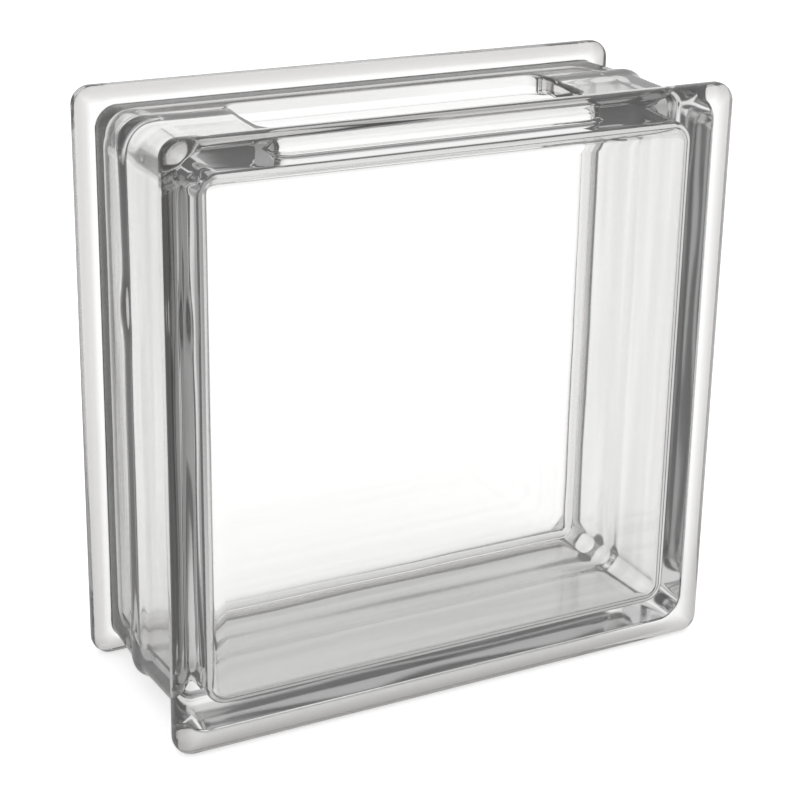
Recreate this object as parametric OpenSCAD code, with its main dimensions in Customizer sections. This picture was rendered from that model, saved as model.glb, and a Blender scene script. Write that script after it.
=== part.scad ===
// Hollow glass block with a filling slot in its top side.
// Two pressed shells are fused along a seam, so the block is one piece of glass.
// X runs across the faces, Y from the front face to the back face, and Z up.
// The origin is in the middle of the underside.

/* [Block] */
// Width of the faces, over the rims
block_w = 190; // [150:1:300]
// Height of the faces, over the rims
block_h = 190; // [150:1:300]
// Thickness from the front face to the back face
block_d = 80; // [70:1:100]

/* [Rims] */
// How far each rim stands out beyond the groove behind it
rim_step = 5.5; // [4:0.5:7]
// Thickness of each rim along Y
rim_t = 8; // [6:0.5:10]
// Corner radius of the rims, seen from the front
rim_corner_r = 6; // [5:0.5:12]
// Rounding of the edge between a face and its rim
face_edge_r = 4; // [2:0.5:4.5]
// Rounding of the outer edge at the back of a rim, as far as the rim's thickness leaves room
rim_edge_r = 3; // [1:0.5:3.5]
// Fillet between the back of a rim and the groove, as far as the rim's step leaves room
groove_fillet_r = 2; // [1:0.5:3]

/* [Walls] */
// Thickness of the two panes
pane_t = 8; // [5:0.5:12]
// Thickness of the side walls
wall_t = 6.5; // [5:0.5:10]
// Draft of each shell: how much further out the side walls stand at the seam
seam_rise = 1; // [0.5:0.5:3]
// Corner radius of the side walls at the grooves, seen from the front
wall_corner_r = 7; // [5:0.5:14]
// Corner radius of the cavity at the panes, seen from the front
cavity_corner_r = 7; // [6:0.5:14]
// Fillet between the panes and the inside of the side walls
cavity_fillet_r = 5.5; // [3:0.5:6.5]

/* [Seam] */
// How far behind the middle of the block the seam lies, as the front shell is the deeper one
seam_offset = 7; // [0:1:12]
// Radius of the fused bead that runs round the seam, outside and inside
bead_r = 3; // [2:0.5:4]
// How far the bead stands out of the outside of the wall
bead_proud = 0.8; // [0.3:0.1:1.2]
// How far the bead stands out of the inside of the wall
inner_bead_proud = 0.3; // [0.2:0.1:0.8]

/* [Filling slot] */
// Length of the slot in the top side, along X
slot_l = 110; // [80:1:120]
// Width of the slot along Y, centred between the faces
slot_w = 30; // [20:1:36]
// Corner radius of the slot
slot_corner_r = 5; // [3:0.5:8]

/* [Hidden] */
$fn = 64;
glass_colour = [0.86, 0.89, 0.88, 0.45];
middle_depth = block_d / 2;
seam_depth = middle_depth + seam_offset;
// The least flat stretch on the outside of a rim, between its two rounded edges
rim_flat = 0.5;
back_edge_r = min(rim_edge_r, rim_t - face_edge_r - rim_flat);
// The groove's fillet ends where the rounded back edge of the rim starts
groove_r = min(groove_fillet_r, rim_step - back_edge_r);
// How far the cavity lies inside the rims, at the panes
cavity_inset = rim_step + wall_t;
// Length by which a cut or a fillet runs into the solid or the space beside it
overrun = 1;

// A straight run of a side profile between two corners, along Y
module profile_run(length) {
    rotate([90, 0, 0]) linear_extrude(height = length, center = true) children();
}

// Sweeps a side profile round a rectangle with rounded corners and fills the middle.
// The profile's X is the distance out from the line that joins the corner centres,
// and its Y is the depth behind the front face.
// inset: how far the outline lies inside the outside of the rims
// corner_r: the corner radius of that outline
// depths: where the filled middle starts and ends
module sweep_round(inset, corner_r, depths) {
    corner_x = block_w / 2 - inset - corner_r;
    corner_z = block_h / 2 - inset - corner_r;
    translate([0, -middle_depth, block_h / 2]) mirror([0, 1, 0]) rotate([90, 0, 0]) {
        for (flip_x = [0, 1]) for (flip_z = [0, 1])
            mirror([flip_x, 0, 0]) mirror([0, flip_z, 0])
                translate([corner_x, corner_z, 0]) rotate_extrude(angle = 90) children();
        for (flip_x = [0, 1])
            mirror([flip_x, 0, 0])
                translate([corner_x, 0, 0]) profile_run(2 * corner_z) children();
        for (flip_z = [0, 1])
            mirror([0, flip_z, 0])
                translate([0, corner_z, 0]) rotate([0, 0, 90]) profile_run(2 * corner_x) children();
        translate([-corner_x, -corner_z, depths[0]])
            cube([2 * corner_x, 2 * corner_z, depths[1] - depths[0]]);
    }
}

// Draws its children at the front half and again, mirrored, at the back half
module both_halves() {
    children();
    translate([0, block_d]) mirror([0, 1]) children();
}

// A rounded edge of a rim: a circle, kept only between the given depths
// edge_r: the edge's radius, which touches the outside of the rim
// centre_depth: depth of the circle's centre
// depths: where the kept part of the circle starts and ends
module rounded_edge(edge_r, centre_depth, depths) {
    intersection() {
        translate([rim_corner_r - edge_r, centre_depth]) circle(r = edge_r);
        translate([0, depths[0]]) square([rim_corner_r, depths[1] - depths[0]]);
    }
}

// Profile of a rim, flat outside, with a rounded edge at the face and at its back
module rim_profile() {
    square([rim_corner_r - face_edge_r, rim_t]);
    translate([0, face_edge_r]) square([rim_corner_r - back_edge_r, rim_t - face_edge_r]);
    translate([0, face_edge_r]) square([rim_corner_r, rim_t - face_edge_r - back_edge_r]);
    rounded_edge(face_edge_r, face_edge_r, [0, face_edge_r]);
    rounded_edge(back_edge_r, rim_t - back_edge_r, [rim_t - back_edge_r, rim_t]);
}

// Fillet that carries the back of a rim into the groove
module groove_fillet() {
    centre = [wall_corner_r + groove_r, rim_t + groove_r];
    difference() {
        translate(centre - [groove_r + overrun, groove_r + overrun]) square(groove_r + overrun);
        translate(centre) circle(r = groove_r);
    }
}

// Outer profile of the side wall, which rises by the draft towards the seam bead.
// The bead's circle is cut off where it would cross the line that joins the corner centres.
module wall_profile() {
    groove_end = rim_t + groove_r;
    bead_top = wall_corner_r + seam_rise + bead_proud;
    polygon([
        [0, 0],
        [wall_corner_r, 0],
        [wall_corner_r, groove_end],
        [wall_corner_r + seam_rise, seam_depth],
        [wall_corner_r, block_d - groove_end],
        [wall_corner_r, block_d],
        [0, block_d]
    ]);
    both_halves() groove_fillet();
    intersection() {
        translate([bead_top - bead_r, seam_depth]) circle(r = bead_r);
        translate([0, seam_depth - bead_r]) square([bead_top, 2 * bead_r]);
    }
}

// Profile of the cavity, with a fillet at each pane and the draft of the side walls
module cavity_profile() {
    fillet_end = pane_t + cavity_fillet_r;
    fillet_x = cavity_corner_r - cavity_fillet_r;
    bead_foot = cavity_corner_r + seam_rise - inner_bead_proud;
    difference() {
        union() {
            translate([0, pane_t]) square([fillet_x, block_d - 2 * pane_t]);
            both_halves() translate([fillet_x, fillet_end]) intersection() {
                circle(r = cavity_fillet_r);
                translate([0, -cavity_fillet_r]) square(cavity_fillet_r);
            }
            polygon([
                [0, fillet_end],
                [cavity_corner_r, fillet_end],
                [cavity_corner_r + seam_rise, seam_depth],
                [cavity_corner_r, block_d - fillet_end],
                [0, block_d - fillet_end]
            ]);
        }
        translate([bead_foot + bead_r, seam_depth]) circle(r = bead_r);
    }
}

// Outline of the filling slot
module slot_outline() {
    square([slot_l - 2 * slot_corner_r, slot_w], center = true);
    square([slot_l, slot_w - 2 * slot_corner_r], center = true);
    for (sx = [-1, 1]) for (sy = [-1, 1])
        translate([sx * (slot_l / 2 - slot_corner_r), sy * (slot_w / 2 - slot_corner_r)])
            circle(r = slot_corner_r);
}

// The cut for the slot, from inside the cavity up past the top of the rims
module slot_cut() {
    cut_depth = rim_step + wall_t + bead_r + overrun;
    translate([0, 0, block_h - cut_depth])
        linear_extrude(height = cut_depth + overrun) slot_outline();
}

module glass_block() {
    color(glass_colour) difference() {
        union() {
            sweep_round(0, rim_corner_r, [0, block_d]) both_halves() rim_profile();
            sweep_round(rim_step, wall_corner_r, [0, block_d]) wall_profile();
        }
        sweep_round(cavity_inset, cavity_corner_r, [pane_t, block_d - pane_t]) cavity_profile();
        slot_cut();
    }
}

glass_block();
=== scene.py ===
"""Hollow pressed glass block with a filling slot, on a plain pale studio floor."""
from math import cos, exp, pi, radians, sin

import bmesh
import bpy
from bpy.props import (
    FloatProperty,
    FloatVectorProperty,
    IntProperty,
    PointerProperty,
)
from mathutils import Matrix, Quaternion, Vector, noise


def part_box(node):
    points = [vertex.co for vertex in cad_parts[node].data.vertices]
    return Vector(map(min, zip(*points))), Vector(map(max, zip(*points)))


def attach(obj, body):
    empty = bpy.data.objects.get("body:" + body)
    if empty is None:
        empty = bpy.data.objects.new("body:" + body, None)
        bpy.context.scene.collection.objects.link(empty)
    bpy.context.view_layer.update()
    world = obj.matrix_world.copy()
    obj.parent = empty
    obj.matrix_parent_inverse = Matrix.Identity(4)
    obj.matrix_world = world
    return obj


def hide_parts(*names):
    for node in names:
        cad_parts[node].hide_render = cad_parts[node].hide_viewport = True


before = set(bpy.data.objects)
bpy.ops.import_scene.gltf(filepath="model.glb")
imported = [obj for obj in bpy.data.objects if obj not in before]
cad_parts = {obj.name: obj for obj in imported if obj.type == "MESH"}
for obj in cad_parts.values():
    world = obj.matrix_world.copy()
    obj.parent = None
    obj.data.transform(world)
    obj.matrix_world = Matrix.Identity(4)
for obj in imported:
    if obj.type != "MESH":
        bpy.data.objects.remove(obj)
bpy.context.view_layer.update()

bl_info = {
    "name": "Glass Block",
    "version": (1, 0, 0),
    "blender": (4, 5, 0),
    "location": "View3D > Sidebar > Glass Block",
    "description": "Builds a hollow pressed glass block with a filling slot, "
                   "and a pale studio for it",
    "category": "Add Mesh",
}

NODE = "glass_block"
BLOCK_LOW, BLOCK_HIGH = (Vector(corner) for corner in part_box(NODE))
BLOCK_SIZE = BLOCK_HIGH - BLOCK_LOW
BLOCK_CENTRE = (BLOCK_LOW + BLOCK_HIGH) / 2
MM = 0.001
# How far in from the rims the painted shade and the roughness of the side walls reach
WALL_REACH = 9 * MM
# Streaks of painted shade per metre on the side walls: few along X and Z, which the streaks follow,
# and many across
STREAKS = (7, 110, 7)
# The stretch of the streaks' noise over which the painted shade turns from its lightest to its
# darkest
STREAK_RISE = (0.35, 0.65)
# Slow waves per metre in the surface of the glass
WAVES = 22
# Noise per metre that the side walls wander with: slow along the walls and quick across them
WANDER_NOISE = Vector((25, 60, 25))
# Half the size of the lump on the seam, along Y and Z
LUMP_REACH = (4 * MM, 7 * MM)
# How sharply the sides' direction turns at a corner; odd, so that each side keeps its sign
TURN_POWER = 15
# Points closer than this are merged
MERGE = MM / 1000
# The stretches over which the share of light changes, upwards and to the right. They are parts of
# the unit direction in the surroundings, and metres from the block's front left corner on the floor
ABOVE_RISE = (0.1, 0.5)
RIGHT_RISE = (-0.4, 0.2)
# The most reflections that count as none, one and a few, with half a reflection to spare
NONE, ONE, FEW = 0.5, 1.5, 4.5


# ---------------------------------------------------------------- properties

class GlassBlockSizes(bpy.types.PropertyGroup):
    """Sizes of the block's section and of its slot"""

    rim_step: FloatProperty(
        name="Rim step", description="How far each rim stands out beyond the groove behind it",
        default=5.5 * MM, min=3 * MM, max=7 * MM, unit="LENGTH", precision=4)
    rim_thickness: FloatProperty(
        name="Rim thickness", description="Thickness of each rim, front to back",
        default=8 * MM, min=7 * MM, max=10 * MM, unit="LENGTH", precision=4)
    rim_corner: FloatProperty(
        name="Rim corner", description="Corner radius of the rims",
        default=6 * MM, min=5 * MM, max=12 * MM, unit="LENGTH", precision=4)
    face_edge: FloatProperty(
        name="Face edge", description="Rounding of the edge between a face and its rim",
        default=4 * MM, min=2 * MM, max=4.5 * MM, unit="LENGTH", precision=4)
    rim_edge: FloatProperty(
        name="Rim back edge", description="Rounding of the outer edge at the back of a rim",
        default=3 * MM, min=1 * MM, max=3.5 * MM, unit="LENGTH", precision=4)
    groove_fillet: FloatProperty(
        name="Groove fillet", description="Fillet between the back of a rim and the groove",
        default=2 * MM, min=1 * MM, max=2.5 * MM, unit="LENGTH", precision=4)
    pane: FloatProperty(
        name="Pane thickness", description="Thickness of the two panes",
        default=8 * MM, min=5 * MM, max=12 * MM, unit="LENGTH", precision=4)
    wall: FloatProperty(
        name="Wall thickness", description="Thickness of the side walls",
        default=6.5 * MM, min=5 * MM, max=10 * MM, unit="LENGTH", precision=4)
    seam_place: FloatProperty(
        name="Seam's place", description="How far behind the middle of the block the seam lies",
        default=7 * MM, min=0, max=12 * MM, unit="LENGTH", precision=4)
    seam_rise: FloatProperty(
        name="Seam rise", description="How much further out the side walls stand at the seam",
        default=1 * MM, min=0.5 * MM, max=3 * MM, unit="LENGTH", precision=4)
    wall_corner: FloatProperty(
        name="Wall corner", description="Corner radius of the side walls at the grooves",
        default=7 * MM, min=5 * MM, max=14 * MM, unit="LENGTH", precision=4)
    cavity_corner: FloatProperty(
        name="Cavity corner", description="Corner radius of the cavity at the panes",
        default=7 * MM, min=6 * MM, max=14 * MM, unit="LENGTH", precision=4)
    cavity_fillet: FloatProperty(
        name="Cavity fillet",
        description="Fillet between the front pane and the inside of the walls",
        default=5.5 * MM, min=3 * MM, max=6.5 * MM, unit="LENGTH", precision=4)
    back_fillet: FloatProperty(
        name="Back fillet", description="Fillet between the back pane and the inside of the walls",
        default=8 * MM, min=3 * MM, max=9 * MM, unit="LENGTH", precision=4)
    bead_half_width: FloatProperty(
        name="Bead half width", description="Half the width of the fused bead, from crest to foot",
        default=6 * MM, min=1 * MM, max=9 * MM, unit="LENGTH", precision=4)
    bead_proud: FloatProperty(
        name="Bead height", description="How far the bead stands out of the outside of the wall",
        default=0.3 * MM, min=0.1 * MM, max=1.2 * MM, unit="LENGTH", precision=4)
    corner_bead: FloatProperty(
        name="Corner bead", description="How much further the bead stands out at the outer corners",
        default=1 * MM, min=0, max=1.5 * MM, unit="LENGTH", precision=4)
    inner_dent: FloatProperty(
        name="Inner dent", description="Depth of the soft dent that the fused seam leaves inside",
        default=0.6 * MM, min=0, max=0.8 * MM, unit="LENGTH", precision=4)
    slot_length: FloatProperty(
        name="Slot length", description="Length of the filling slot",
        default=110 * MM, min=80 * MM, max=120 * MM, unit="LENGTH", precision=4)
    slot_width: FloatProperty(
        name="Slot width", description="Width of the filling slot",
        default=30 * MM, min=20 * MM, max=36 * MM, unit="LENGTH", precision=4)
    slot_corner: FloatProperty(
        name="Slot corner", description="Corner radius of the filling slot",
        default=5 * MM, min=3 * MM, max=8 * MM, unit="LENGTH", precision=4)
    slot_edge: FloatProperty(
        name="Slot edge", description="Fire-polished rounding of the slot's edges",
        default=1.6 * MM, min=0.5 * MM, max=3 * MM, unit="LENGTH", precision=4)
    wander: FloatProperty(
        name="Wander",
        description="How far the hot-pressed walls wander from their true shape; "
                    "the furthest is about twice this",
        default=0.12 * MM, min=0, max=0.5 * MM, unit="LENGTH", precision=5)
    lump: FloatProperty(
        name="Seam lump", description="Height of the lump of glass on the left side's seam",
        default=0.9 * MM, min=0, max=1.5 * MM, unit="LENGTH", precision=4)
    lump_place: FloatProperty(
        name="Seam lump's place", description="Height of the lump above the floor",
        default=128 * MM, min=30 * MM, max=160 * MM, unit="LENGTH", precision=4)


class GlassBlockFinish(bpy.types.PropertyGroup):
    """Finish of the glass"""

    tint: FloatVectorProperty(
        name="Tint", description="Colour of the glass", subtype="COLOR", size=3,
        default=(0.935, 0.938, 0.932), min=0, max=1)
    # Painted shade: the grey on the outer edges of the rims stands in for the dark outlines that
    # light gives glass edges
    painted_edge_shade: FloatVectorProperty(
        name="Edge tint", description="Colour of the glass on the outer edges of the rims",
        subtype="COLOR", size=3, default=(0.48, 0.47, 0.465), min=0, max=1)
    edge_shade_solid: FloatProperty(
        name="Edge solid", description="How far in from the sides the edge tint is full",
        default=1 * MM, min=0, max=20 * MM, unit="LENGTH", precision=4)
    edge_width: FloatProperty(
        name="Edge width", description="How far the edge tint reaches in from the sides",
        default=8 * MM, min=1 * MM, max=20 * MM, unit="LENGTH", precision=4)
    # Painted shade: the side walls' grey streaks stand in for the shading that the surroundings
    # give the walls
    painted_wall_shade_light: FloatVectorProperty(
        name="Wall tint", description="Colour of the clearest streaks on the side walls",
        subtype="COLOR", size=3, default=(0.78, 0.775, 0.77), min=0, max=1)
    painted_wall_shade_dark: FloatVectorProperty(
        name="Streak tint", description="Colour of the greyest streaks on the side walls",
        subtype="COLOR", size=3, default=(0.5, 0.495, 0.49), min=0, max=1)
    wall_roughness: FloatProperty(
        name="Wall roughness", description="Roughness of the outside of the side walls",
        default=0.09, min=0, max=0.5, subtype="FACTOR")
    ior: FloatProperty(
        name="Refractive index", description="Refractive index of soda-lime glass",
        default=1.52, min=1.4, max=1.7)
    waviness: FloatProperty(
        name="Waviness", description="Height of the slow waves that pressing leaves in the surface",
        default=0.15 * MM, min=0, max=0.5 * MM, unit="LENGTH", precision=5)


class GlassBlockStudio(bpy.types.PropertyGroup):
    """Floor, light and camera"""

    floor_colour: FloatVectorProperty(
        name="Floor colour", description="Colour of the plain floor", subtype="COLOR", size=3,
        default=(0.64, 0.64, 0.64), min=0, max=1)
    floor_radius: FloatProperty(
        name="Floor radius", description="Radius of the floor", default=6, min=1, unit="LENGTH")
    brightness: FloatProperty(
        name="Brightness", description="Strength of the white surroundings", default=1.1, min=0)
    one_reflection: FloatProperty(
        name="After one reflection",
        description="Surroundings seen after one reflection in the glass",
        default=0.9, min=0, max=1, subtype="FACTOR")
    one_reflection_left: FloatProperty(
        name="After one, to the left",
        description="Surroundings seen on the left after one reflection in the glass",
        default=0.4, min=0, max=1, subtype="FACTOR")
    few_reflections: FloatProperty(
        name="After a few reflections",
        description="Surroundings seen after two to four reflections in the glass",
        default=0.2, min=0, max=1, subtype="FACTOR")
    few_reflections_above: FloatProperty(
        name="After a few, above",
        description="Surroundings seen above after two to four reflections in the glass",
        default=0.6, min=0, max=1, subtype="FACTOR")
    few_reflections_floor: FloatProperty(
        name="Floor after a few reflections",
        description="Floor seen after two to four reflections in the glass",
        default=0.11, min=0, max=1, subtype="FACTOR")
    three_reflections: FloatProperty(
        name="After three reflections",
        description="Surroundings seen after exactly three reflections in the glass",
        default=0.4, min=0, max=1, subtype="FACTOR")
    many_reflections: FloatProperty(
        name="After many reflections",
        description="Surroundings seen after five or more reflections in the glass",
        default=0.2, min=0, max=1, subtype="FACTOR")
    light_panel: FloatProperty(
        name="Light panel",
        description="Surroundings seen after a few reflections in the light panel",
        default=0.75, min=0, max=1, subtype="FACTOR")
    panel_angle: FloatProperty(
        name="Panel angle",
        description="Where the light panel stands; 0 is behind, positive is right",
        default=radians(19), subtype="ANGLE")
    panel_width: FloatProperty(
        name="Panel width", description="Half the angle that the light panel takes up",
        default=radians(6), min=0, subtype="ANGLE")
    floor_glow: FloatProperty(
        name="Floor glow", description="Light that the floor gives off itself", default=0.95, min=0)
    floor_shade: FloatProperty(
        name="Shade under the block", description="How much darker the floor is under the block",
        default=0.05, min=0, max=1, subtype="FACTOR")
    light_bounces: IntProperty(
        name="Light bounces", description="How often a ray may bounce before it is cut",
        default=32, min=4, max=64)
    camera_place: FloatVectorProperty(
        name="Camera place", description="Where the camera stands", subtype="TRANSLATION", size=3,
        default=(-0.2865, -0.5319, 0.3225), unit="LENGTH")
    camera_azimuth: FloatProperty(
        name="Azimuth", description="Angle of the view round the block; 0 looks along +Y",
        default=radians(-28.85), subtype="ANGLE")
    camera_elevation: FloatProperty(
        name="Elevation", description="Angle at which the camera looks down",
        default=radians(19.63), subtype="ANGLE")
    camera_roll: FloatProperty(
        name="Roll", description="Tilt of the camera about its line of sight",
        default=radians(1.26), subtype="ANGLE")
    camera_lens: FloatProperty(
        name="Lens", description="Focal length of the camera, in millimetres",
        default=90.58, min=10)
    camera_shift: FloatVectorProperty(
        name="Shift", description="Shift of the lens, as a share of the picture", size=2,
        default=(-0.0265, -0.075))


# ---------------------------------------------------------------- the section

# Steps round a rounded edge or a fillet, and round a corner seen from the front
ARC_STEPS = 8
CORNER_STEPS = 14
# An edge loop this far inside a pane's rounded edge keeps the pane flat
SUPPORT = 0.4 * MM
# The patch of the top wall round the slot reaches this far beyond the slot's straight sides
SLOT_MARGIN = 10 * MM
# Steps through the patch along a side
PATCH_STEPS = 5
# Steps from the middle of a side to where its patch starts
SIDE_STEPS = 16
# Steps across the side walls, from the middle of the block to the patch and through it
WALL_STEPS = 10


def seam_bump(sizes, y):
    """Share of the bead's height that it has this far behind the middle of the block"""
    offset = y - sizes.seam_place
    if abs(offset) >= sizes.bead_half_width:
        return 0.0
    return (1 + cos(pi * offset / sizes.bead_half_width)) / 2


def wall_inset(sizes, base, feet, y, proud):
    """How far a side wall's surface lies inside the rims, at y behind the middle of the block.

    base is the inset at the wall's feet, where the draft starts; proud is how far outwards the
    seam stands from the wall.
    """
    seam = sizes.seam_place
    if y < seam:
        share = (y - feet[0]) / (seam - feet[0])
    else:
        share = (feet[1] - y) / (feet[1] - seam)
    return base - sizes.seam_rise * max(share, 0) - proud * seam_bump(sizes, y)


def outer_feet(sizes):
    """Where the outside of the side walls starts and ends, along Y"""
    foot = BLOCK_SIZE.y / 2 - sizes.rim_thickness - sizes.groove_fillet
    return -foot, foot


def inner_feet(sizes):
    """Where the inside of the side walls starts and ends, along Y"""
    half = BLOCK_SIZE.y / 2 - sizes.pane
    return sizes.cavity_fillet - half, half - sizes.back_fillet


def outer_inset(sizes, y):
    """Inset of the outside of the side walls"""
    return wall_inset(sizes, sizes.rim_step, outer_feet(sizes), y, sizes.bead_proud)


def inner_inset(sizes, y):
    """Inset of the inside of the side walls"""
    return wall_inset(sizes, sizes.rim_step + sizes.wall, inner_feet(sizes), y, sizes.inner_dent)


def slot_core(sizes):
    """Half length and half width of the rectangle that joins the slot's corner centres"""
    return (sizes.slot_length / 2 - sizes.slot_corner, sizes.slot_width / 2 - sizes.slot_corner)


def steps_between(start, end, count):
    """Evenly spaced values from start to end, both included"""
    return [start + (end - start) * i / count for i in range(count + 1)]


def slot_steps(half_core, patch_steps):
    """Distances from the middle at which edge loops run through the patch round the slot"""
    return steps_between(half_core, half_core + SLOT_MARGIN, patch_steps)


def wall_places(sizes, feet):
    """Places across a side wall that have an edge loop, between its two feet"""
    half_core = slot_core(sizes)[1]
    half = steps_between(0, half_core, WALL_STEPS)[:-1] + slot_steps(half_core, WALL_STEPS)
    places = [-y for y in reversed(half[1:])] + half
    return [(feet[0] + places[0]) / 2] + places + [(places[-1] + feet[1]) / 2]


def arc(centre, radius, start, end, steps=ARC_STEPS):
    """Points (inset, depth) on an arc; angle 0 points to the outside and pi/2 towards the seam"""
    angles = steps_between(start, end, steps)
    return [(centre[0] - radius * cos(a), centre[1] + radius * sin(a)) for a in angles]


def outer_stations(sizes):
    """The outer shell, from the front pane to the back one: (inset, depth, corner radius)"""
    fe, re, gf = sizes.face_edge, sizes.rim_edge, sizes.groove_fillet
    rim = [(fe + SUPPORT, 0)]
    rim += arc((fe, fe), fe, -pi / 2, 0)
    rim += arc((re, sizes.rim_thickness - re), re, 0, pi / 2)
    front = [(inset, depth, sizes.rim_corner - inset) for inset, depth in rim]
    base = sizes.wall_corner + sizes.rim_step
    groove = arc((sizes.rim_step - gf, sizes.rim_thickness + gf), -gf, pi / 2, 0)
    front += [(inset, depth, base - inset) for inset, depth in groove]
    wall = [(outer_inset(sizes, y), y) for y in wall_places(sizes, outer_feet(sizes))]
    wall = [(inset, BLOCK_SIZE.y / 2 + y, base - inset) for inset, y in wall]
    return front + wall + at_back(front)


def inner_stations(sizes):
    """The cavity, from the front pane to the back one: (inset, depth, corner radius)"""
    base = sizes.rim_step + sizes.wall + sizes.cavity_corner
    wall = [(inner_inset(sizes, y), y) for y in wall_places(sizes, inner_feet(sizes))]
    wall = [(inset, BLOCK_SIZE.y / 2 + y, base - inset) for inset, y in wall]
    front, back = (cavity_end(sizes, fillet) for fillet in (sizes.cavity_fillet, sizes.back_fillet))
    return front + wall + at_back(back)


def cavity_end(sizes, fillet):
    """The cavity from a pane to the side wall, with the given fillet.

    A fillet larger than the cavity's corner radius leaves a tight corner at the pane.
    """
    base = sizes.rim_step + sizes.wall
    section = [(base + fillet + SUPPORT, sizes.pane)]
    section += arc((base + fillet, sizes.pane + fillet), fillet, -pi / 2, 0)
    corner = sizes.cavity_corner + base
    return [(inset, depth, max(corner - inset, SUPPORT)) for inset, depth in section]


def at_back(front):
    """The stations of the front half, mirrored to the back"""
    return [(inset, BLOCK_SIZE.y - depth, radius) for inset, depth, radius in reversed(front)]


# ---------------------------------------------------------------- the shells

def side_positions(sizes, straight):
    """Positions along a straight side, from one corner to the other"""
    patch = slot_steps(slot_core(sizes)[0], PATCH_STEPS)
    half = steps_between(0, patch[0], SIDE_STEPS)[:-1] + patch
    half += [(patch[-1] + straight) / 2, straight]
    return [-p for p in reversed(half[1:])] + half


def ring_points(sizes, station):
    """Points of one rounded rectangle round the block, anticlockwise from the front"""
    inset, depth, radius = station
    half_x = BLOCK_SIZE.x / 2 - inset - radius
    half_z = BLOCK_SIZE.z / 2 - inset - radius
    y = BLOCK_LOW.y + depth
    points = []
    for quarter in range(4):
        turn = Quaternion((0, -1, 0), quarter * pi / 2)
        along, across = (half_x, half_z) if quarter % 2 == 0 else (half_z, half_x)
        # The top side first, walked towards -X, then the left, the bottom and the right side
        side = [Vector((-p, 0, across + radius)) for p in side_positions(sizes, along)]
        corner = []
        for step in range(1, CORNER_STEPS):
            a = step / CORNER_STEPS * pi / 2
            corner.append(Vector((-along - radius * sin(a), 0, across + radius * cos(a))))
        points += [turn @ p for p in side + corner]
    points = [Vector((p.x, y, p.z + BLOCK_CENTRE.z)) for p in points]
    return [p + away_from_middle(p) * wall_wander(sizes, p) for p in points]


def away_from_middle(point):
    """Which way a side of the block faces, at a point on it"""
    reach = (point - BLOCK_CENTRE) / BLOCK_SIZE.x * 2
    return Vector((reach.x ** TURN_POWER, 0, reach.z ** TURN_POWER)).normalized()


def wall_wander(sizes, point):
    """How far a point on the side walls wanders outwards; 0 on the panes and the rims"""
    middle = max(1 - (point.y / outer_feet(sizes)[1]) ** 4, 0)
    waves = 2 * sizes.wander * noise.noise(point * WANDER_NOISE)
    across, up = point.y - sizes.seam_place, point.z - sizes.lump_place
    from_lump = Vector((across / LUMP_REACH[0], up / LUMP_REACH[1]))
    left = 1 if point.x < BLOCK_LOW.x + BLOCK_SIZE.x / 4 else 0
    sideways, upwards = (abs(part) for part in away_from_middle(point).xz)
    corner = sizes.corner_bead * seam_bump(sizes, point.y) * 2 * sideways * upwards
    lump = left * sizes.lump * exp(-from_lump.length_squared)
    return middle * (waves + lump + corner)


def add_shell(bm, sizes, stations):
    """Lays a grid round the block through the stations, welds it into a tube and caps both ends"""
    rings = [ring_points(sizes, station) for station in stations]
    around = len(rings[0])
    grid = bmesh.ops.create_grid(bm, x_segments=around, y_segments=len(rings) - 1, size=0.5)
    for vert in grid["verts"]:
        column = round((vert.co.x + 0.5) * around) % around
        row = round((vert.co.y + 0.5) * (len(rings) - 1))
        vert.co = rings[row][column]
    bmesh.ops.remove_doubles(bm, verts=grid["verts"], dist=MERGE)
    rims = [e for e in bm.edges if e.is_valid and e.is_boundary]
    bmesh.ops.holes_fill(bm, edges=rims, sides=around)


def on_slot(co, distance, core, z):
    """The point at a distance outside the slot's core rectangle, in the direction of co"""
    nearest = Vector((max(-core[0], min(core[0], co.x)), max(-core[1], min(core[1], co.y))))
    direction = (Vector((co.x, co.y)) - nearest).normalized()
    spot = nearest + direction * distance
    return Vector((spot.x, spot.y, z(spot.y)))


def open_patch(bm, core, low, high):
    """Deletes the faces round the slot between two heights and returns the edges of the hole"""
    reach = [half + SLOT_MARGIN - MM / 100 for half in core]
    inside = []
    for face in bm.faces:
        middle = face.calc_center_median()
        if low < middle.z < high and abs(middle.x) < reach[0] and abs(middle.y) < reach[1]:
            inside.append(face)
    border = {e for f in inside for e in f.edges if any(o not in inside for o in e.link_faces)}
    bmesh.ops.delete(bm, geom=inside, context="FACES")
    return [e for e in border if e.is_valid]


def cut_slot(bm, sizes):
    """Opens the top wall and lines the slot with a wall that has rounded edges"""
    core = slot_core(sizes)
    top = BLOCK_HIGH.z
    mid = top - sizes.rim_step - sizes.wall / 2 + sizes.seam_rise
    outer = open_patch(bm, core, mid, top + MM)
    inner = open_patch(bm, core, mid - sizes.wall, mid)

    def outside(y):
        return top - outer_inset(sizes, y)

    def inside(y):
        return top - inner_inset(sizes, y)

    corner, edge = sizes.slot_corner, sizes.slot_edge
    loops = []
    for a in steps_between(0, pi / 2, ARC_STEPS):
        beyond, drop = corner + edge - edge * sin(a), edge * (1 - cos(a))
        loops.append((beyond, lambda y, drop=drop: outside(y) - drop))
    for a in reversed(steps_between(0, pi / 2, ARC_STEPS)):
        beyond, rise = corner + edge - edge * sin(a), edge * (1 - cos(a))
        loops.append((beyond, lambda y, rise=rise: inside(y) + rise))
    edges = outer
    for distance, height in loops:
        grown = bmesh.ops.extrude_edge_only(bm, edges=edges)["geom"]
        edges = [g for g in grown if isinstance(g, bmesh.types.BMEdge)]
        for vert in (g for g in grown if isinstance(g, bmesh.types.BMVert)):
            vert.co = on_slot(vert.co, distance, core, height)
    bmesh.ops.bridge_loops(bm, edges=edges + inner)


# ---------------------------------------------------------------- materials

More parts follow.
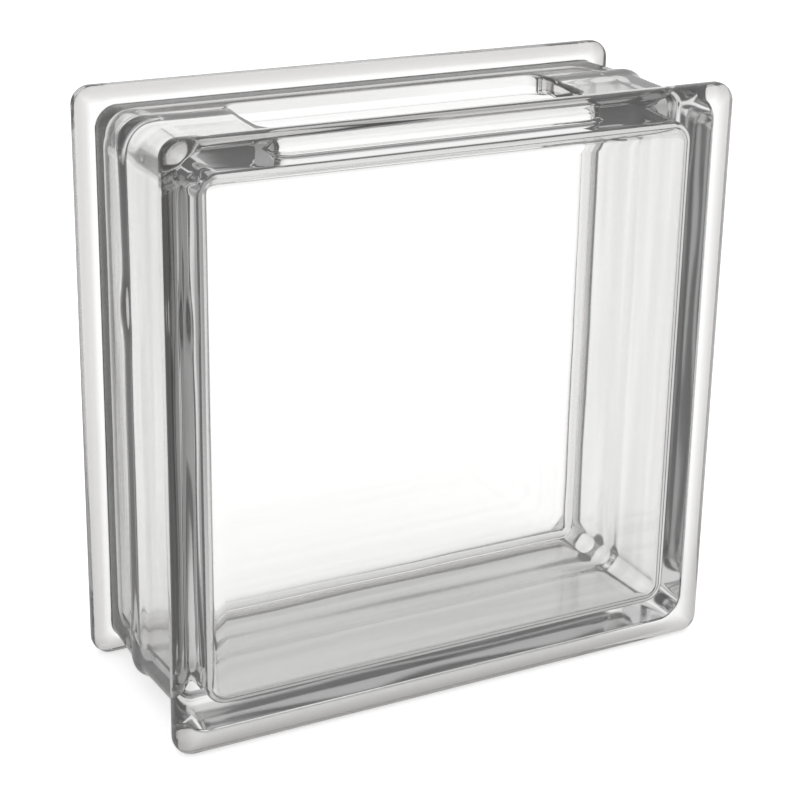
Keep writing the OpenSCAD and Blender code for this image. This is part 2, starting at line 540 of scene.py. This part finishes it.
def new_material(name):
    """An empty node material with a Principled shader"""
    material = bpy.data.materials.new(name)
    material.use_nodes = True
    tree = material.node_tree
    tree.nodes.clear()
    output = tree.nodes.new("ShaderNodeOutputMaterial")
    shader = tree.nodes.new("ShaderNodeBsdfPrincipled")
    tree.links.new(shader.outputs["BSDF"], output.inputs["Surface"])
    return material, tree, shader


def ramp(tree, value, start, end):
    """0 up to start and 1 from end, with a smooth rise between them"""
    node = tree.nodes.new("ShaderNodeMapRange")
    node.interpolation_type = "SMOOTHSTEP"
    node.inputs["From Min"].default_value = start
    node.inputs["From Max"].default_value = end
    tree.links.new(value, node.inputs["Value"])
    return node.outputs["Result"]


def math_node(tree, operation, first, second=None):
    """A Math node; each input is a socket or a number"""
    node = tree.nodes.new("ShaderNodeMath")
    node.operation = operation
    for socket, value in zip(node.inputs, (first, second)):
        if isinstance(value, bpy.types.NodeSocket):
            tree.links.new(value, socket)
        elif value is not None:
            socket.default_value = value
    return node.outputs[0]


def distances(tree, place):
    """How far a point lies from the block's middle along X, Y and Z"""
    split = tree.nodes.new("ShaderNodeSeparateXYZ")
    tree.links.new(place.outputs["Object"], split.inputs[0])
    from_middle = math_node(tree, "SUBTRACT", split.outputs["Z"], BLOCK_CENTRE.z)
    axes = split.outputs["X"], split.outputs["Y"], from_middle
    return [math_node(tree, "ABSOLUTE", axis) for axis in axes]


def blend(tree, share, first, second):
    """A colour that goes from the first to the second with the share; sockets or colours"""
    mix = tree.nodes.new("ShaderNodeMix")
    mix.data_type = "RGBA"
    tree.links.new(share, mix.inputs["Factor"])
    for socket, colour in ((mix.inputs["A"], first), (mix.inputs["B"], second)):
        if isinstance(colour, bpy.types.NodeSocket):
            tree.links.new(colour, socket)
        else:
            socket.default_value = (*colour, 1)
    return mix.outputs["Result"]


def glass_material(finish):
    """Clear pressed glass.

    It has slow waves in its surface, painted shade on the rims' outer edges, and painted shade
    in streaks that makes the outside of the side walls a little less clear and greyer.
    """
    material, tree, shader = new_material("clear_glass")
    shader.inputs["IOR"].default_value = finish.ior
    shader.inputs["Transmission Weight"].default_value = 1
    place = tree.nodes.new("ShaderNodeTexCoord")
    across, along, up = distances(tree, place)
    reach = math_node(tree, "MAXIMUM", across, up)

    outside = BLOCK_SIZE.x / 2
    # Painted shade on the outer edges of the rims, full near the sides and fading inwards
    edge = ramp(tree, reach, outside - finish.edge_width, outside - finish.edge_shade_solid)
    # The outside of the side walls lies near the rims' outside and between the grooves
    wall_start, wall_end = outside - WALL_REACH, BLOCK_SIZE.y / 2 - WALL_REACH
    walls = math_node(tree, "MULTIPLY", ramp(tree, reach, wall_start, wall_start + MM),
                      ramp(tree, along, wall_end, wall_end - MM))
    stretch = tree.nodes.new("ShaderNodeMapping")
    stretch.inputs["Scale"].default_value = STREAKS
    tree.links.new(place.outputs["Object"], stretch.inputs["Vector"])
    streaks = tree.nodes.new("ShaderNodeTexNoise")
    streaks.inputs["Scale"].default_value = 1
    streaks.inputs["Detail"].default_value = 2
    tree.links.new(stretch.outputs["Vector"], streaks.inputs["Vector"])
    streaked = ramp(tree, streaks.outputs["Fac"], *STREAK_RISE)
    # Painted shade in grey streaks on the outside of the side walls
    painted_wall_shade = blend(tree, streaked, finish.painted_wall_shade_light, finish.painted_wall_shade_dark)
    colour = blend(tree, walls, finish.tint, painted_wall_shade)
    # The painted edge shade goes over the other colours
    colour = blend(tree, edge, colour, finish.painted_edge_shade)
    tree.links.new(colour, shader.inputs["Base Color"])
    roughness = math_node(tree, "MULTIPLY", walls, finish.wall_roughness)
    tree.links.new(roughness, shader.inputs["Roughness"])

    waves = tree.nodes.new("ShaderNodeTexNoise")
    waves.inputs["Scale"].default_value = WAVES
    waves.inputs["Detail"].default_value = 1.5
    bump = tree.nodes.new("ShaderNodeBump")
    bump.inputs["Distance"].default_value = finish.waviness
    tree.links.new(place.outputs["Object"], waves.inputs["Vector"])
    tree.links.new(waves.outputs["Fac"], bump.inputs["Height"])
    tree.links.new(bump.outputs["Normal"], shader.inputs["Normal"])
    return material


def part_way(tree, share, first, second):
    """A value that goes from the first to the second with the share; sockets or numbers"""
    mix = tree.nodes.new("ShaderNodeMix")
    tree.links.new(share, mix.inputs["Factor"])
    for socket, value in ((mix.inputs["A"], first), (mix.inputs["B"], second)):
        if isinstance(value, bpy.types.NodeSocket):
            tree.links.new(value, socket)
        else:
            socket.default_value = value
    return mix.outputs["Result"]


def share_where(tree, value, threshold, share, before):
    """before where the value is at most the threshold, and share above it"""
    return part_way(tree, math_node(tree, "GREATER_THAN", value, threshold), before, share)


def light_share(tree, studio, few, way):
    """How much of the studio's white is met after a number of reflections.

    few is the share after two to four reflections, away from the light panel and from above, and
    way is the direction from the block's front left corner.
    """
    sideways, backwards = way.outputs["X"], way.outputs["Y"]
    bearing = math_node(tree, "ARCTAN2", sideways, backwards)
    off_panel = math_node(tree, "SUBTRACT", bearing, studio.panel_angle)
    off_panel = math_node(tree, "ABSOLUTE", off_panel)
    panel = ramp(tree, off_panel, studio.panel_width, studio.panel_width / 2)
    above = ramp(tree, way.outputs["Z"], *ABOVE_RISE)
    few = part_way(tree, above, few, studio.few_reflections_above)
    few = part_way(tree, panel, few, studio.light_panel)
    path = tree.nodes.new("ShaderNodeLightPath")
    count = path.outputs["Glossy Depth"]
    right = ramp(tree, sideways, *RIGHT_RISE)
    one = part_way(tree, right, studio.one_reflection_left, studio.one_reflection)
    share = share_where(tree, count, NONE, one, 1)
    share = share_where(tree, count, ONE, few, share)
    share = part_way(tree, math_node(tree, "COMPARE", count, 3), share, studio.three_reflections)
    return share_where(tree, count, FEW, studio.many_reflections, share)


def floor_material(studio):
    """Matt pale floor with a glow of its own, so that it stays pale under the block"""
    material, tree, shader = new_material("studio_floor")
    shader.inputs["Roughness"].default_value = 1
    shader.inputs["Specular IOR Level"].default_value = 0
    place = tree.nodes.new("ShaderNodeTexCoord")
    from_corner = tree.nodes.new("ShaderNodeVectorMath")
    from_corner.operation = "SUBTRACT"
    from_corner.inputs[1].default_value = BLOCK_LOW
    tree.links.new(place.outputs["Object"], from_corner.inputs[0])
    split = tree.nodes.new("ShaderNodeSeparateXYZ")
    tree.links.new(from_corner.outputs[0], split.inputs[0])
    across, along, _ = distances(tree, place)
    # Full shade ends this far inside the block's footprint, and the last of it this far outside
    inside, beyond = 10 * MM, 2 * MM
    half_x, half_y = BLOCK_SIZE.x / 2, BLOCK_SIZE.y / 2
    under = math_node(tree, "MULTIPLY", ramp(tree, across, half_x + beyond, half_x - inside),
                      ramp(tree, along, half_y + beyond, half_y - inside))
    lit = math_node(tree, "SUBTRACT", 1, math_node(tree, "MULTIPLY", under, studio.floor_shade))
    share = light_share(tree, studio, studio.few_reflections_floor, split)
    colour = blend(tree, math_node(tree, "MULTIPLY", share, lit), (0, 0, 0), studio.floor_colour)
    tree.links.new(colour, shader.inputs["Base Color"])
    tree.links.new(colour, shader.inputs["Emission Color"])
    shader.inputs["Emission Strength"].default_value = studio.floor_glow
    return material


# ---------------------------------------------------------------- helpers

def add_object(name, bm, material):
    """Turns a bmesh into a smooth-shaded object at the origin"""
    mesh = bpy.data.meshes.new(name)
    bm.to_mesh(mesh)
    bm.free()
    mesh.materials.append(material)
    mesh.polygons.foreach_set("use_smooth", [True] * len(mesh.polygons))
    obj = bpy.data.objects.new(name, mesh)
    bpy.context.collection.objects.link(obj)
    return obj


# ---------------------------------------------------------------- operators

class MESH_OT_glass_block_body(bpy.types.Operator):
    """Builds the glass body, with its cavity and slot"""

    bl_idname = "mesh.glass_block_body"
    bl_label = "Glass body"
    bl_options = {"REGISTER", "UNDO"}

    def execute(self, context):
        sizes = context.scene.glass_block_sizes
        bm = bmesh.new()
        add_shell(bm, sizes, outer_stations(sizes))
        add_shell(bm, sizes, inner_stations(sizes))
        cut_slot(bm, sizes)
        bmesh.ops.remove_doubles(bm, verts=bm.verts, dist=MERGE)
        bmesh.ops.recalc_face_normals(bm, faces=bm.faces)
        open_edges = [e for e in bm.edges if not e.is_manifold]
        if open_edges:
            raise RuntimeError(f"the glass body has {len(open_edges)} open edges")
        body = add_object("glass_body", bm, glass_material(context.scene.glass_block_finish))
        normals = body.modifiers.new("flat faces stay flat", "WEIGHTED_NORMAL")
        normals.mode = "FACE_AREA"
        normals.weight = 50
        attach(body, "root")
        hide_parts(NODE)
        return {"FINISHED"}


class SCENE_OT_glass_block_studio(bpy.types.Operator):
    """Builds the pale floor, the soft white surroundings and the camera"""

    bl_idname = "scene.glass_block_studio"
    bl_label = "Studio"
    bl_options = {"REGISTER", "UNDO"}

    def execute(self, context):
        scene = context.scene
        studio = scene.glass_block_studio
        bm = bmesh.new()
        bmesh.ops.create_circle(bm, cap_ends=True, radius=studio.floor_radius, segments=64)
        floor = add_object("studio_floor", bm, floor_material(studio))

        world = bpy.data.worlds.new("studio_world")
        world.use_nodes = True
        tree = world.node_tree
        background = tree.nodes["Background"]
        background.inputs["Color"].default_value = (1, 1, 1, 1)
        place = tree.nodes.new("ShaderNodeTexCoord")
        split = tree.nodes.new("ShaderNodeSeparateXYZ")
        tree.links.new(place.outputs["Generated"], split.inputs[0])
        share = light_share(tree, studio, studio.few_reflections, split)
        strength = math_node(tree, "MULTIPLY", share, studio.brightness)
        tree.links.new(strength, background.inputs["Strength"])
        scene.world = world
        scene.view_settings.view_transform = "Standard"
        scene.cycles.max_bounces = studio.light_bounces
        scene.cycles.glossy_bounces = studio.light_bounces
        scene.cycles.transmission_bounces = studio.light_bounces

        camera = bpy.data.cameras.new("studio_camera")
        camera.lens = studio.camera_lens
        camera.shift_x, camera.shift_y = studio.camera_shift
        holder = bpy.data.objects.new("studio_camera", camera)
        a, e = studio.camera_azimuth, studio.camera_elevation
        back = Vector((sin(a) * cos(e), -cos(a) * cos(e), sin(e)))
        aim = (-back).to_track_quat("-Z", "Y") @ Quaternion((0, 0, 1), studio.camera_roll)
        holder.rotation_mode = "QUATERNION"
        holder.rotation_quaternion = aim
        holder.location = studio.camera_place
        context.collection.objects.link(holder)
        scene.camera = holder
        return {"FINISHED"}


class VIEW3D_PT_glass_block(bpy.types.Panel):
    """Sizes, finish and studio of the glass block"""

    bl_idname = "VIEW3D_PT_glass_block"
    bl_label = "Glass Block"
    bl_space_type = "VIEW_3D"
    bl_region_type = "UI"
    bl_category = "Glass Block"

    def draw(self, context):
        for operator, groups in PARTS:
            column = self.layout.column()
            column.operator(operator)
            for settings in (getattr(context.scene, group) for group in groups):
                for name in settings.bl_rna.properties.keys():
                    if name not in {"rna_type", "name"}:
                        column.prop(settings, name)


PARTS = (
    ("mesh.glass_block_body", ("glass_block_sizes", "glass_block_finish")),
    ("scene.glass_block_studio", ("glass_block_studio",)),
)
GROUPS = {
    "glass_block_sizes": GlassBlockSizes,
    "glass_block_finish": GlassBlockFinish,
    "glass_block_studio": GlassBlockStudio,
}
CLASSES = (
    *GROUPS.values(),
    MESH_OT_glass_block_body,
    SCENE_OT_glass_block_studio,
    VIEW3D_PT_glass_block,
)


def register():
    for cls in CLASSES:
        bpy.utils.register_class(cls)
    for name, group in GROUPS.items():
        setattr(bpy.types.Scene, name, PointerProperty(type=group))


def unregister():
    for name in GROUPS:
        delattr(bpy.types.Scene, name)
    for cls in reversed(CLASSES):
        bpy.utils.unregister_class(cls)


def main():
    register()
    bpy.ops.scene.glass_block_studio()
    bpy.ops.mesh.glass_block_body()


if __name__ == "__main__":
    main()
